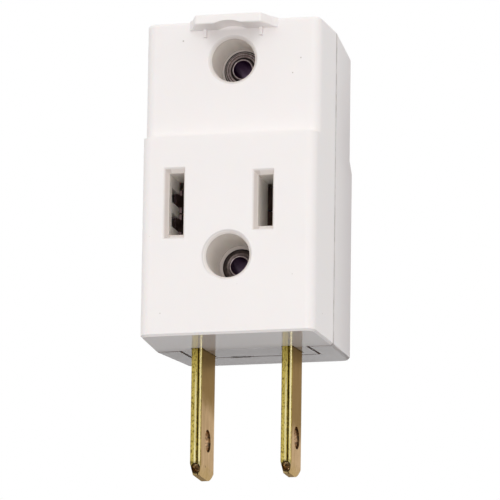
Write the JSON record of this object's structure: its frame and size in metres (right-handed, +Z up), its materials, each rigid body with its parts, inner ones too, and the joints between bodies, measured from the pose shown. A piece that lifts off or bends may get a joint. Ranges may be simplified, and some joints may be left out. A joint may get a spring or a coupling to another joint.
{
  "type": "surge protector adaptor",
  "caption": "White plug-in adaptor with a riveted split housing, blade outlets in front, behind and on top, folded brass plug blades below and a surge absorber inside.",
  "frame": {"origin": "centre of the plug face, midway between the two blades", "axes": "+Z up the housing, away from the blades; +X to the right as the front outlet is looked at; +Y from the front outlet towards the back one"},
  "size_m": [0.0254, 0.0273, 0.0628],
  "materials": {
    "housing": "moulded, satin on the faces and glossy on the foot",
    "blade_brass": "rolled sheet, lightly scratched",
    "rivet_metal": "dull plated tube",
    "spring_bronze": "dull spring strip",
    "bus_brass": "stamped sheet",
    "pin_brass": "headed wire",
    "varistor_coating": "dipped epoxy",
    "fuse_case": "drawn can",
    "tinned_wire": "tinned copper",
    "solder": "reflowed"
  },
  "bodies": {
    "root": {"front_shell": "housing", "back_shell": "housing", "upper_rivet": "rivet_metal", "lower_rivet": "rivet_metal", "neutral_blade": "blade_brass", "hot_blade": "blade_brass", "neutral_bus_bar": "bus_brass", "hot_bus_bar": "bus_brass", "neutral_front_contact": "spring_bronze", "hot_front_contact": "spring_bronze", "neutral_back_contact": "spring_bronze", "hot_back_contact": "spring_bronze", "neutral_top_contact": "spring_bronze", "hot_top_contact": "spring_bronze", "blade_rivets": "pin_brass", "contact_rivets": "pin_brass", "varistor": "varistor_coating", "thermal_fuse": "fuse_case", "neutral_lead": "tinned_wire", "link_lead": "tinned_wire", "hot_lead": "tinned_wire", "solder_joints": "solder"}
  },
  "joints": []
}
